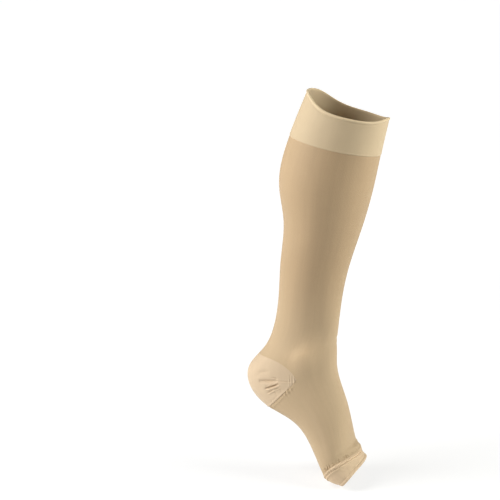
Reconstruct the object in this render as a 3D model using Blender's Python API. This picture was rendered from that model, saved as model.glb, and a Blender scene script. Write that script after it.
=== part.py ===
"""Open-toe knee-high compression stocking for a left leg, hollow, in the shape it has when it is worn
with the knee a little bent and the heel lifted: the leg leans back and the foot stands on its ball.

The stocking is one knitted tube in five parts, each of them a solid here:

    top_band     doubled welt under the knee, with a rolled rim
    leg          tapered tube from the calf to the ankle
    heel_pocket  short-row cup let into the back of the tube, pointed at both sides
    foot         tube from the heel to the toe joints
    toe_band     doubled, turned hem round the open toe

Metres, +Z up, +X towards the toes, +Y towards the outer side of the leg.
The origin is the middle of the top opening.

A point on the cloth has two coordinates: ALONG, the distance in millimetres down the middle of the
tube from its highest section, and AROUND, the angle in degrees from the front, positive outwards.
"""

import math
from collections import namedtuple

import bmesh
import bpy
import numpy as np

for old_object in list(bpy.data.objects):
    bpy.data.objects.remove(old_object, do_unlink=True)


# ---------------------------------------------------------------------------------------------
# Driving dimensions, in millimetres and degrees
# ---------------------------------------------------------------------------------------------

MM = 0.001

KNIT_WALL = 1.5
BAND_WALL = 2.1
HEM_WALL = 2.4
SEAM_GAP = 0.3

# Sections of the tube from the knee to the toes: middle of the section, the tilt of its front
# above the level, its depth from front to back, its width, and how round each half is
# (2 is an ellipse, less is keeled like a shin, more is flat like a sole).
Section = namedtuple("Section", "name x z tilt depth width front_round back_round")
SECTIONS = (
    Section("top",          2.0,    9.8, -10.5, 106.5, 100, 2.00, 2.10),
    Section("band_seam",  -16.5,  -51.0, -10.0, 117.5, 110, 1.95, 2.10),
    Section("calf",       -27.0, -102.0,  -6.0, 118.5, 114, 1.90, 2.10),
    Section("below_calf", -30.0, -146.5,  -5.0, 101.5, 100, 1.85, 2.00),
    Section("mid_shin",   -40.5, -203.0,  -4.0,  88.5,  79, 1.85, 2.00),
    Section("low_shin",   -47.0, -257.5,   1.0,  83.0,  64, 1.90, 2.00),
    Section("ankle",      -51.5, -285.5,   8.0,  88.0,  58, 2.00, 1.95),
    Section("heel_rise",  -59.5, -308.5,  14.0, 103.0,  61, 2.00, 1.90),
    Section("heel_top",   -68.5, -324.0,  18.0, 123.0,  65, 2.00, 1.90),
    Section("heel",       -68.0, -347.0,  24.0, 127.5,  67, 2.00, 2.00),
    Section("heel_base",  -57.5, -366.5,  30.0, 111.5,  67, 2.00, 2.20),
    Section("sole_back",  -43.5, -381.5,  31.0,  91.0,  68, 1.95, 2.40),
    Section("arch",       -27.9, -399.2,  29.0,  71.8,  72, 1.90, 2.60),
    Section("instep",     -13.4, -429.3,  33.0,  58.0,  80, 1.90, 2.60),
    Section("ball",        -3.6, -456.2,  40.0,  51.0,  90, 1.90, 2.60),
    Section("toe_joints",   0.2, -464.3,  44.0,  49.0,  90, 1.95, 2.60),
    Section("toe_edge",    19.6, -476.2,  54.0,  31.5,  87, 2.00, 2.60),
)

# Lines that part the pieces, given as ALONG. The rim is highest at the back of the knee and lowest
# at its sides: its mean height, and how far each cosine wave round the tube moves it, back to front.
RIM_WAVES = (10.3, -8.3, -5.7, 0.2, 0.0, 0.8)
BAND_SEAM_BACK = 57.5
BAND_SEAM_FRONT = 61.0

# The heel pocket reaches forward past the side of the foot to a point on each side.
POCKET_TOP = 329.5
POCKET_POINT = 375.0
POCKET_BOTTOM = 394.0
POCKET_REACH = 101.0
POCKET_BLUNT = 0.4

# How square the pocket's top line is at its shoulders, how steeply it sweeps down to the points,
# and how flat its bottom line runs under the heel.
POCKET_SHOULDER = 2.5
POCKET_SWEEP = 0.5
POCKET_FLOOR = 2.5

TOE_SEAM = 498.5
TOE_SEAM_END_RISE = 2.8
TOE_SEAM_FRONT_DROP = 1.4
TOE_SEAM_SOLE_DROP = 6.0
TOE_SEAM_SOLE_SPREAD = 55.0
TOE_SEAM_FOLD_DROP = 2.5
TOE_EDGE = 524.2
TOE_EDGE_FRONT_DROP = 1.8

# Relief that stands out of the tube.
BAND_PROUD = 0.5
RIM_ROLL = 0.5
RIM_ROLL_AT = 1.2
RIM_ROLL_HALF = 1.4
POCKET_SEAM_RIDGE = 0.5
POCKET_SEAM_HALF = 2.2

# The toe hem stands on the toes' joints in front, where it is thickest, and lies flat under the ball.
HEM_PROUD = 0.4
HEM_LIFT = 2.4
HEM_JOINTS_SPREAD = 42.0
HEM_BALL_SPREAD = 60.0
HEM_RIDGE_SIDE = 1.1
HEM_RIDGE_FRONT = 1.9
HEM_RIDGE_SOLE = 0.2
HEM_RIDGE_AT = 2.5
HEM_RIDGE_FALL = 4.0
HEM_RIDGE_FRONT_FALL = 8.0
HEM_RIDGE_HOLLOW = 0.5

# The foot rises to the hem, and over the toes' joints it is pushed up into a fold above the seam.
FOOT_LIFT_HALF = 3.0
FOLD_HEIGHT = 4.6
FOLD_SPREAD = 26.0
FOLD_LENGTH = 10.6
FOLD_SOFTNESS = 1.1

# Creases of the heel pocket, where the spare cloth of the cup folds in. SHARE is the place between
# the pocket's top line and bottom line, and the crease runs from BACK_FROM to BACK_TO degrees
# away from the middle of the back, alike on both sides.
PocketCrease = namedtuple("PocketCrease", "name share back_from back_to sink half")
POCKET_CREASES = (
    PocketCrease("upper_hollow", 0.26, 42, 74, 0.6, 3.0),
    PocketCrease("long_tuck",    0.46, 44, 92, 1.4, 2.0),
    PocketCrease("deep_tuck",    0.59, 50, 84, 1.9, 1.8),
    PocketCrease("short_tuck",   0.69, 54, 74, 0.9, 1.7),
)

# Creases of the tube, each a soft trough from one point to the other. Where SINK is below 0 the cloth
# swells instead, as it does over the two ankle bones.
TubeCrease = namedtuple("TubeCrease", "name along_from around_from along_to around_to sink half")
TUBE_CREASES = (
    TubeCrease("instep_upper", 330, -34, 333,  40, 0.7, 4.0),
    TubeCrease("instep_lower", 346, -44, 343,  30, 0.6, 3.5),
    TubeCrease("toe_inner",    487, -70, 493, -20, 1.0, 3.0),
    TubeCrease("toe_outer",    489,  74, 494,  24, 1.0, 3.0),
    TubeCrease("sole_fold",    489, 196, 488, 158, 0.7, 3.0),
    TubeCrease("inner_bone",   322, -76, 378, -60, -2.6, 12.0),
    TubeCrease("outer_bone",   328,  74, 380,  82, -2.6, 12.0),
)

# Colours of the yarns, and the dull surface of them all.
LEG_COLOUR = (0.58, 0.41, 0.23)
BAND_COLOUR = (0.74, 0.62, 0.42)
HEEL_COLOUR = (0.70, 0.53, 0.34)
TOE_COLOUR = (0.67, 0.50, 0.31)
KNIT_ROUGHNESS = 0.75

# A crease dies away at both ends: a small power makes the ends short and blunt.
CREASE_TAPER = 0.7

# Fineness of the meshes: columns on each side of the tube, steps between rows, the distances from an
# edge or a seam at which the first rows lie, and the angle from which a fold counts as sharp.
FRONT_COLUMNS = 9
BACK_COLUMNS = 12
BACK_CROWDING = 1.9
LEG_ROWS = 23
FOOT_STEP = 9.0
BAND_STEP = 9.0
POCKET_STEP = 0.085
POCKET_SHOULDER_ROWS = 1.3
RIM_ROWS = (0.0, 0.45, 1.1, 2.4, 4.0)
FOOT_SEAM_ROWS = (14.5, 12.2, 10.6, 9.0, 6.8, 4.0, 2.0, 0.0)
HEM_SEAM_ROWS = (0.0, 2.0, 4.5, 8.0, 13.0)
HEM_EDGE_ROWS = (2.6, 1.2, 0.45, 0.0)
EDGE_ROUNDNESS = 0.93
SHARP_FOLD = 50


# ---------------------------------------------------------------------------------------------
# The tube's form
# ---------------------------------------------------------------------------------------------

def smooth_curve(places, values):
    """Return a function that passes smoothly through the values and runs straight at both ends."""
    places = np.asarray(places, float)
    values = np.asarray(values, float)
    steps = np.diff(places)
    slopes = np.diff(values) / steps
    count = len(places)
    matrix = np.eye(count)
    bends = np.zeros(count)
    for i in range(1, count - 1):
        matrix[i, i - 1:i + 2] = steps[i - 1], 2 * (steps[i - 1] + steps[i]), steps[i]
        bends[i] = 6 * (slopes[i] - slopes[i - 1])
    bends = np.linalg.solve(matrix, bends)

    def curve(at):
        i = np.clip(np.searchsorted(places, at, side="right") - 1, 0, count - 2)
        past = at - places[i]
        step = steps[i]
        slope = slopes[i] - step * (2 * bends[i] + bends[i + 1]) / 6
        return (values[i] + past * slope + past ** 2 * bends[i] / 2
                + past ** 3 * (bends[i + 1] - bends[i]) / (6 * step))

    return curve


SECTION_PLACES = [0.0]
for upper, lower in zip(SECTIONS, SECTIONS[1:]):
    SECTION_PLACES.append(SECTION_PLACES[-1] + math.hypot(lower.x - upper.x, lower.z - upper.z))
MEASURE = {column: smooth_curve(SECTION_PLACES, [getattr(section, column) for section in SECTIONS])
           for column in Section._fields[1:]}


def tube_point(along, around):
    """Point of the plain tube's outer face, in millimetres."""
    size = {column: measure(along) for column, measure in MEASURE.items()}
    angle = np.radians(around)
    forward, outward = np.cos(angle), np.sin(angle)
    power = 2 / np.where(forward >= 0, size["front_round"], size["back_round"])
    reach = np.sign(forward) * np.abs(forward) ** power * size["depth"] / 2
    side = np.sign(outward) * np.abs(outward) ** power * size["width"] / 2
    tilt = np.radians(size["tilt"])
    return np.stack([size["x"] + reach * np.cos(tilt), side, size["z"] + reach * np.sin(tilt)], -1)


def tube_normal(along, around, step=0.5):
    """Unit vector straight out of the plain tube."""
    down = tube_point(along + step, around) - tube_point(along - step, around)
    across = tube_point(along, around + step) - tube_point(along, around - step)
    normal = np.cross(down, across)
    return normal / np.linalg.norm(normal, axis=-1, keepdims=True)


def back_angle(around):
    """Angle from the middle of the back, 0 to 180."""
    return 180 - np.abs((np.asarray(around, float) + 180) % 360 - 180)


def bump(distance, half):
    """1 on the line, falling softly to 0 at about twice HALF."""
    return np.exp(-(distance / half) ** 2)


# ---------------------------------------------------------------------------------------------
# The lines that part the pieces, as ALONG for each AROUND
# ---------------------------------------------------------------------------------------------

def rim_line(around):
    turn = np.radians(back_angle(around))
    return sum(wave * np.cos(count * turn) for count, wave in enumerate(RIM_WAVES))


def band_seam_line(around):
    front_share = (1 - np.cos(np.radians(back_angle(around)))) / 2
    return BAND_SEAM_BACK + (BAND_SEAM_FRONT - BAND_SEAM_BACK) * front_share


def pocket_top_line(around):
    """Bowed line over the heel that meets the bottom line at the pocket's points."""
    reach = np.minimum(back_angle(around) / POCKET_REACH, 1)
    return POCKET_POINT - (POCKET_POINT - POCKET_TOP) * (1 - reach ** POCKET_SHOULDER) ** POCKET_SWEEP


def pocket_bottom_line(around):
    reach = np.minimum(back_angle(around) / POCKET_REACH, 1)
    return POCKET_POINT + (POCKET_BOTTOM - POCKET_POINT) * (1 - reach ** POCKET_FLOOR)


def toe_seam_line(around):
    turn = np.radians(around)
    under_ball = bump(back_angle(around), TOE_SEAM_SOLE_SPREAD)
    return (TOE_SEAM + TOE_SEAM_END_RISE * np.cos(2 * turn) + TOE_SEAM_FRONT_DROP * np.cos(turn)
            + TOE_SEAM_SOLE_DROP * under_ball + TOE_SEAM_FOLD_DROP * over_joints(around, FOLD_SPREAD))


def over_joints(around, spread):
    """1 in front, over the toes' joints, falling to 0 at the sides."""
    return bump((np.asarray(around, float) + 180) % 360 - 180, spread)


def toe_edge_line(around):
    return TOE_EDGE + TOE_EDGE_FRONT_DROP * over_joints(around, HEM_JOINTS_SPREAD)


def seam_clearance(line, around, step=0.2):
    """Half the seam gap, measured along the tube so that it is right across a slanted line."""
    rise = line(around + step) - line(around - step)
    middle = line(around)
    run = np.linalg.norm(tube_point(middle, around + step) - tube_point(middle, around - step), axis=-1)
    return SEAM_GAP / 2 * np.sqrt(1 + (rise / run) ** 2)


def above(line, around):
    return line(around) - seam_clearance(line, around)


def below(line, around):
    return line(around) + seam_clearance(line, around)


# ---------------------------------------------------------------------------------------------
# Relief
# ---------------------------------------------------------------------------------------------

def tube_creases(along, around):
    """Height of the tube's cloth over its plain form: below 0 in a crease."""
    around = (around + 180) % 360 - 180
    height = np.zeros(np.shape(along))
    for crease in TUBE_CREASES:
        middle_along = (crease.along_from + crease.along_to) / 2
        middle_around = (crease.around_from + crease.around_to) / 2
        girth_step = np.linalg.norm(tube_point(middle_along, middle_around + 0.5)
                                    - tube_point(middle_along, middle_around - 0.5))
        turn = (around - crease.around_from + 180) % 360 - 180
        x = turn * girth_step
        y = along - crease.along_from
        length_x = (crease.around_to - crease.around_from) * girth_step
        length_y = crease.along_to - crease.along_from
        length = math.hypot(length_x, length_y)
        share = (x * length_x + y * length_y) / length ** 2
        off_line = np.abs(x * length_y - y * length_x) / length
        fade = np.sin(np.pi * np.clip(share, 0, 1)) ** CREASE_TAPER
        height -= crease.sink * bump(off_line, crease.half) * fade
    return height


def pocket_creases(share, around):
    """Height of the heel cup's cloth over its plain form."""
    angle = back_angle(around)
    height = np.zeros(np.shape(share))
    cup_height = pocket_bottom_line(around) - pocket_top_line(around)
    for crease in POCKET_CREASES:
        run = np.clip((angle - crease.back_from) / (crease.back_to - crease.back_from), 0, 1)
        fade = np.sin(np.pi * run) ** CREASE_TAPER
        height -= crease.sink * bump((share - crease.share) * cup_height, crease.half) * fade
    return height


def hem_ridge(past_seam, around):
    """The turned hem bunches up along the toe seam, most of all over the toes' joints."""
    in_front = over_joints(around, HEM_JOINTS_SPREAD)
    under_ball = bump(back_angle(around), HEM_BALL_SPREAD)
    height = (HEM_RIDGE_SIDE + (HEM_RIDGE_FRONT - HEM_RIDGE_SIDE) * in_front
              + (HEM_RIDGE_SOLE - HEM_RIDGE_SIDE) * under_ball)
    fall = HEM_RIDGE_FALL + (HEM_RIDGE_FRONT_FALL - HEM_RIDGE_FALL) * in_front
    return height * bump(past_seam - HEM_RIDGE_AT, fall)


def foot_rise(to_seam, around):
    """How far the end of the foot stands off its plain form to meet the hem."""
    fold = over_joints(around, FOLD_SPREAD) / (1 + np.exp((to_seam - FOLD_LENGTH) / FOLD_SOFTNESS))
    lift = HEM_LIFT * over_joints(around, HEM_JOINTS_SPREAD) * bump(to_seam, FOOT_LIFT_HALF)
    return FOLD_HEIGHT * fold + lift * (1 - fold)


# ---------------------------------------------------------------------------------------------
# Meshes
# ---------------------------------------------------------------------------------------------

def column_angles():
    """AROUND of the tube's columns, once round: even in front, crowded at the pocket's points."""
    front = np.linspace(0, 180 - POCKET_REACH, FRONT_COLUMNS + 1)
    share = np.arange(BACK_COLUMNS, 0, -1) / BACK_COLUMNS
    behind = 180 - (POCKET_REACH - POCKET_BLUNT) * (1 - (1 - share) ** BACK_CROWDING)
    half = np.concatenate([front, behind])
    return np.concatenate([half, [180], -half[:0:-1]])


COLUMNS = column_angles()
POCKET_COLUMNS = np.sort(COLUMNS[back_angle(COLUMNS) < POCKET_REACH - POCKET_BLUNT / 2] % 360)


def wall(name, along, around, outer_height, inner_height, colour, closed=True):
    """One closed solid between an outer and an inner face, both grids of rows by columns."""
    normal = tube_normal(along, around)
    skin = tube_point(along, around)
    faces_of_points = (skin + normal * outer_height[..., None], skin + normal * inner_height[..., None])

    mesh = bpy.data.meshes.new(name)
    form = bmesh.new()
    outer, inner = ([[form.verts.new(point * MM) for point in row] for row in grid]
                    for grid in faces_of_points)
    rows, columns = np.shape(along)
    last = columns if closed else columns - 1
    for i in range(rows - 1):
        for j in range(last):
            k = (j + 1) % columns
            form.faces.new((outer[i][j], outer[i + 1][j], outer[i + 1][k], outer[i][k]))
            form.faces.new((inner[i][j], inner[i][k], inner[i + 1][k], inner[i + 1][j]))
    for j in range(last):
        k = (j + 1) % columns
        form.faces.new((outer[0][j], outer[0][k], inner[0][k], inner[0][j]))
        form.faces.new((outer[-1][j], inner[-1][j], inner[-1][k], outer[-1][k]))
    if not closed:
        for i in range(rows - 1):
            form.faces.new((outer[i][0], inner[i][0], inner[i + 1][0], outer[i + 1][0]))
            form.faces.new((outer[i][-1], outer[i + 1][-1], inner[i + 1][-1], inner[i][-1]))
    bmesh.ops.recalc_face_normals(form, faces=form.faces)
    form.to_mesh(mesh)
    form.free()

    mesh.shade_smooth()
    mesh.set_sharp_from_angle(angle=math.radians(SHARP_FOLD))
    material = bpy.data.materials.new(name + "_knit")
    material.use_nodes = True
    shader = material.node_tree.nodes["Principled BSDF"]
    shader.inputs["Base Color"].default_value = (*colour, 1)
    shader.inputs["Roughness"].default_value = KNIT_ROUGHNESS
    shader.inputs["Metallic"].default_value = 0
    mesh.materials.append(material)
    piece = bpy.data.objects.new(name, mesh)
    bpy.context.scene.collection.objects.link(piece)
    return piece


def rows_between(top, bottom, shares):
    """ALONG of every point: one row for each share of the way from the top line to the bottom."""
    return top + (bottom - top) * np.asarray(shares)[:, None]


def even_shares(distance, step):
    return np.linspace(0, 1, math.ceil(distance / step) + 1)


def round_edge(to_edge, thickness):
    """Outer and inner face heights of a wall whose edge is rounded, from the distance to it."""
    radius = thickness / 2
    short = np.clip(1 - to_edge / radius, 0, 1)
    half = radius * np.sqrt(1 - EDGE_ROUNDNESS * short ** 2)
    return -radius + half, -radius - half


# ---------------------------------------------------------------------------------------------
# Top band: a welt knitted double, whose fold is the rim
# ---------------------------------------------------------------------------------------------

def make_top_band():
    rim = rim_line(COLUMNS)
    seam = above(band_seam_line, COLUMNS)
    flat_shares = even_shares(BAND_SEAM_FRONT - RIM_WAVES[0], BAND_STEP)[1:]
    turned = rim + np.array(RIM_ROWS)[:, None]
    along = np.concatenate([turned, rows_between(turned[-1], seam, flat_shares)])
    around = np.broadcast_to(COLUMNS, along.shape)
    below_rim = along - rim
    outer, inner = round_edge(below_rim, BAND_WALL)
    outer = outer + BAND_PROUD + RIM_ROLL * bump(below_rim - RIM_ROLL_AT, RIM_ROLL_HALF)
    inner = inner + BAND_PROUD
    wall("top_band", along, around, outer, inner, BAND_COLOUR)


# ---------------------------------------------------------------------------------------------
# Leg: the tapered tube, cut away at the back for the heel pocket
# ---------------------------------------------------------------------------------------------

def make_leg():
    seam = below(band_seam_line, COLUMNS)
    end = above(pocket_top_line, COLUMNS)
    along = rows_between(seam, end, np.linspace(0, 1, LEG_ROWS + 1))
    around = np.broadcast_to(COLUMNS, along.shape)
    height = tube_creases(along, around)
    wall("leg", along, around, height, height - KNIT_WALL, LEG_COLOUR)


# ---------------------------------------------------------------------------------------------
# Heel pocket: rows fan out from the points, and its creases follow them
# ---------------------------------------------------------------------------------------------

def pocket_row_shares():
    """A row on the bottom and the shoulders of every crease, and even rows between them."""
    cup = POCKET_BOTTOM - POCKET_TOP
    marks = [0, 1, POCKET_SEAM_HALF / cup, 1 - POCKET_SEAM_HALF / cup]
    for crease in POCKET_CREASES:
        marks += [crease.share + side * crease.half * POCKET_SHOULDER_ROWS / cup for side in (-1, 0, 1)]
    marks.sort()
    shares = [0.0]
    for start, stop in zip(marks, marks[1:]):
        parts = math.ceil((stop - start) / POCKET_STEP)
        shares += [start + (stop - start) * (i + 1) / parts for i in range(parts)]
    return np.array(shares)


def make_heel_pocket():
    top = below(pocket_top_line, POCKET_COLUMNS)
    bottom = above(pocket_bottom_line, POCKET_COLUMNS)
    shares = pocket_row_shares()
    along = rows_between(top, bottom, shares)
    around = np.broadcast_to(POCKET_COLUMNS, along.shape)
    height = pocket_creases(np.broadcast_to(shares[:, None], along.shape), around)
    height = height + tube_creases(along, around)
    ridge = POCKET_SEAM_RIDGE * bump(bottom - along, POCKET_SEAM_HALF)
    wall("heel_pocket", along, around, height + ridge, height - KNIT_WALL, HEEL_COLOUR, closed=False)


# ---------------------------------------------------------------------------------------------
# Foot: from the heel pocket to the toe joints
# ---------------------------------------------------------------------------------------------

def make_foot():
    start = below(pocket_bottom_line, COLUMNS)
    seam = above(toe_seam_line, COLUMNS)
    even = even_shares(TOE_SEAM - POCKET_POINT, FOOT_STEP)
    even_rows = rows_between(start, seam - FOOT_SEAM_ROWS[0], even)
    along = np.concatenate([even_rows, seam - np.array(FOOT_SEAM_ROWS[1:])[:, None]])
    around = np.broadcast_to(COLUMNS, along.shape)
    height = tube_creases(along, around) + foot_rise(seam - along, around)
    on_pocket = back_angle(COLUMNS) < POCKET_REACH
    ridge = np.where(on_pocket, POCKET_SEAM_RIDGE * bump(along - start, POCKET_SEAM_HALF), 0)
    wall("foot", along, around, height + ridge, height - KNIT_WALL, LEG_COLOUR)


# ---------------------------------------------------------------------------------------------
# Toe band: a turned hem, bunched up along its seam
# ---------------------------------------------------------------------------------------------

def make_toe_band():
    seam = below(toe_seam_line, COLUMNS)
    edge = toe_edge_line(COLUMNS)
    seam_rows = rows_between(seam, edge, np.array(HEM_SEAM_ROWS) / (TOE_EDGE - TOE_SEAM))
    along = np.concatenate([seam_rows, edge - np.array(HEM_EDGE_ROWS)[:, None]])
    around = np.broadcast_to(COLUMNS, along.shape)
    outer, inner = round_edge(edge - along, HEM_WALL)
    lift = HEM_PROUD + HEM_LIFT * over_joints(around, HEM_JOINTS_SPREAD)
    ridge = hem_ridge(along - seam, around)
    wall("toe_band", along, around, outer + lift + ridge, inner + lift + HEM_RIDGE_HOLLOW * ridge,
         TOE_COLOUR)


make_top_band()
make_leg()
make_heel_pocket()
make_foot()
make_toe_band()
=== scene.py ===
# An open-toe knee-high compression stocking for a left leg, hollow, in the shape it has when it is worn
# with the knee a little bent and the heel lifted: the leg leans back and the foot stands on its ball.
# It is one knitted tube: top band, leg, heel pocket, foot and toe band. Sizes are in millimetres,
# multiplied by MM where a mesh is made. +X is towards the toes, +Y the outer side of the leg.
import math
from collections import namedtuple

import bmesh
import bpy
import mathutils
import numpy as np
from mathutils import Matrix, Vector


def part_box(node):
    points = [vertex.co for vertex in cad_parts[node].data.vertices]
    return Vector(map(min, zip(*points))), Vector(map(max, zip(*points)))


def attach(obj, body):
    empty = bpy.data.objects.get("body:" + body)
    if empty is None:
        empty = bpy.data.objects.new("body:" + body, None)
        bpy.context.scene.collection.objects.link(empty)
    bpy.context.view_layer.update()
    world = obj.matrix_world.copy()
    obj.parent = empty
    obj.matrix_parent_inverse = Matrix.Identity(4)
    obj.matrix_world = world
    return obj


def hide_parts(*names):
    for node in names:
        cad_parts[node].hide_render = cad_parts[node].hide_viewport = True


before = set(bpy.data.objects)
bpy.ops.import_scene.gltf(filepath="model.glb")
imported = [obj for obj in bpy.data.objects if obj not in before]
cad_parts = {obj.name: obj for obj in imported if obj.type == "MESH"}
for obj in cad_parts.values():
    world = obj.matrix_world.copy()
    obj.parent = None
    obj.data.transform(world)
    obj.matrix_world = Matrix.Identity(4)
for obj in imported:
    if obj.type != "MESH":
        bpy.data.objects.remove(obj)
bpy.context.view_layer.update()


# =============================================================================================
# Leg and foot
# One tube of fine nylon over elastane, knitted round on a narrow cylinder, so the same wales run
# from the knee to the toes. Smaller stitches draw it in at the shin and the ankle, and it is cut
# by nothing but the opening at the back that the heel pocket is knitted into.
# =============================================================================================

MM = 0.001
LEG_WALL = 0.9

# A point on the cloth has two coordinates: ALONG, the distance down the middle of the tube from its
# highest section, and AROUND, the angle in degrees from the front, positive outwards. A section is an
# oval: its middle, its tilt in degrees, its depth from front to back, its width, and how full its
# front and back halves are, where 2 is an ellipse.
Section = namedtuple("Section", "name x z tilt depth width front_round back_round")
SECTIONS = (
    Section("top",          2.0,    9.8, -10.5, 106.5, 100, 2.00, 2.10),
    Section("band_seam",  -16.5,  -51.0, -10.0, 117.5, 110, 1.95, 2.10),
    Section("calf",       -27.0, -102.0,  -6.0, 118.5, 114, 1.90, 2.10),
    Section("below_calf", -30.0, -146.5,  -5.0, 101.5, 100, 1.85, 2.00),
    Section("mid_shin",   -40.5, -203.0,  -4.0,  88.5,  79, 1.85, 2.00),
    Section("low_shin",   -47.0, -257.5,   1.0,  83.0,  64, 1.90, 2.00),
    Section("ankle",      -51.5, -285.5,   8.0,  88.0,  58, 2.00, 1.95),
    Section("heel_rise",  -59.5, -308.5,  14.0, 103.0,  61, 2.00, 1.90),
    Section("heel_top",   -68.5, -324.0,  18.0, 123.0,  65, 2.00, 1.90),
    Section("heel",       -68.0, -347.0,  24.0, 127.5,  67, 2.00, 2.00),
    Section("heel_base",  -57.5, -366.5,  30.0, 111.5,  67, 2.00, 2.20),
    Section("sole_back",  -43.5, -381.5,  31.0,  91.0,  68, 1.95, 2.40),
    Section("arch",       -27.9, -399.2,  29.0,  71.8,  72, 1.90, 2.60),
    Section("instep",     -13.4, -429.3,  33.0,  58.0,  80, 1.90, 2.60),
    Section("ball",        -3.6, -456.2,  40.0,  51.0,  90, 1.90, 2.60),
    Section("toe_joints",   0.2, -464.3,  44.0,  49.0,  90, 1.95, 2.60),
    Section("toe_edge",    19.6, -476.2,  54.0,  31.5,  87, 2.00, 2.60),
)


def smooth_curve(places, values):
    """Return a function that passes smoothly through the values and runs straight at both ends."""
    places = np.asarray(places, float)
    values = np.asarray(values, float)
    steps = np.diff(places)
    slopes = np.diff(values) / steps
    count = len(places)
    matrix = np.eye(count)
    bends = np.zeros(count)
    for i in range(1, count - 1):
        matrix[i, i - 1:i + 2] = steps[i - 1], 2 * (steps[i - 1] + steps[i]), steps[i]
        bends[i] = 6 * (slopes[i] - slopes[i - 1])
    bends = np.linalg.solve(matrix, bends)

    def curve(at):
        i = np.clip(np.searchsorted(places, at, side="right") - 1, 0, count - 2)
        past = at - places[i]
        step = steps[i]
        slope = slopes[i] - step * (2 * bends[i] + bends[i + 1]) / 6
        return (values[i] + past * slope + past ** 2 * bends[i] / 2
                + past ** 3 * (bends[i + 1] - bends[i]) / (6 * step))

    return curve


SECTION_PLACES = [0.0]
for upper, lower in zip(SECTIONS, SECTIONS[1:]):
    SECTION_PLACES.append(SECTION_PLACES[-1] + math.hypot(lower.x - upper.x, lower.z - upper.z))
MEASURE = {column: smooth_curve(SECTION_PLACES, [getattr(section, column) for section in SECTIONS])
           for column in Section._fields[1:]}


def tube_point(along, around):
    """Point of the plain tube's outer face."""
    size = {column: measure(along) for column, measure in MEASURE.items()}
    angle = np.radians(around)
    forward, outward = np.cos(angle), np.sin(angle)
    power = 2 / np.where(forward >= 0, size["front_round"], size["back_round"])
    reach = np.sign(forward) * np.abs(forward) ** power * size["depth"] / 2
    side = np.sign(outward) * np.abs(outward) ** power * size["width"] / 2
    tilt = np.radians(size["tilt"])
    return np.stack([size["x"] + reach * np.cos(tilt), side, size["z"] + reach * np.sin(tilt)], -1)


def tube_normal(along, around, step=0.5):
    """Unit vector straight out of the plain tube."""
    down = tube_point(along + step, around) - tube_point(along - step, around)
    across = tube_point(along, around + step) - tube_point(along, around - step)
    normal = np.cross(down, across)
    return normal / np.linalg.norm(normal, axis=-1, keepdims=True)


def back_angle(around):
    """Angle from the middle of the back, 0 to 180."""
    return 180 - np.abs((np.asarray(around, float) + 180) % 360 - 180)


def bump(distance, half):
    """1 on the line, falling softly to 0 at about twice HALF."""
    return np.exp(-(distance / half) ** 2)


def over_joints(around, spread):
    """1 in front, over the toes' joints, falling to 0 at the sides."""
    return bump((np.asarray(around, float) + 180) % 360 - 180, spread)


# The pieces meet along lines round the tube, given as ALONG for each AROUND: the seam under the top
# band, the upper and the lower line of the heel pocket, and the seam of the toe band. The pocket's
# lines reach POCKET_REACH degrees from the back, and its last three values are the powers that bow them.
BAND_SEAM_BACK = 57.5
BAND_SEAM_FRONT = 61.0
POCKET_TOP = 329.5
POCKET_POINT = 375.0
POCKET_BOTTOM = 394.0
POCKET_REACH = 101.0
POCKET_SHOULDER = 2.5
POCKET_SWEEP = 0.5
POCKET_FLOOR = 2.5
TOE_SEAM = 498.5
TOE_SEAM_END_RISE = 2.8
TOE_SEAM_FRONT_DROP = 1.4
TOE_SEAM_SOLE_DROP = 6.0
TOE_SEAM_SOLE_SPREAD = 55.0
TOE_SEAM_FOLD_DROP = 2.5
FOLD_SPREAD = 26.0


def band_seam_line(around):
    front_share = (1 - np.cos(np.radians(back_angle(around)))) / 2
    return BAND_SEAM_BACK + (BAND_SEAM_FRONT - BAND_SEAM_BACK) * front_share


def pocket_top_line(around):
    """Bowed line over the heel that meets the bottom line at the pocket's points."""
    reach = np.minimum(back_angle(around) / POCKET_REACH, 1)
    return POCKET_POINT - (POCKET_POINT - POCKET_TOP) * (1 - reach ** POCKET_SHOULDER) ** POCKET_SWEEP


def pocket_bottom_line(around):
    reach = np.minimum(back_angle(around) / POCKET_REACH, 1)
    return POCKET_POINT + (POCKET_BOTTOM - POCKET_POINT) * (1 - reach ** POCKET_FLOOR)


def toe_seam_line(around):
    turn = np.radians(around)
    under_ball = bump(back_angle(around), TOE_SEAM_SOLE_SPREAD)
    return (TOE_SEAM + TOE_SEAM_END_RISE * np.cos(2 * turn) + TOE_SEAM_FRONT_DROP * np.cos(turn)
            + TOE_SEAM_SOLE_DROP * under_ball + TOE_SEAM_FOLD_DROP * over_joints(around, FOLD_SPREAD))


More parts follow.
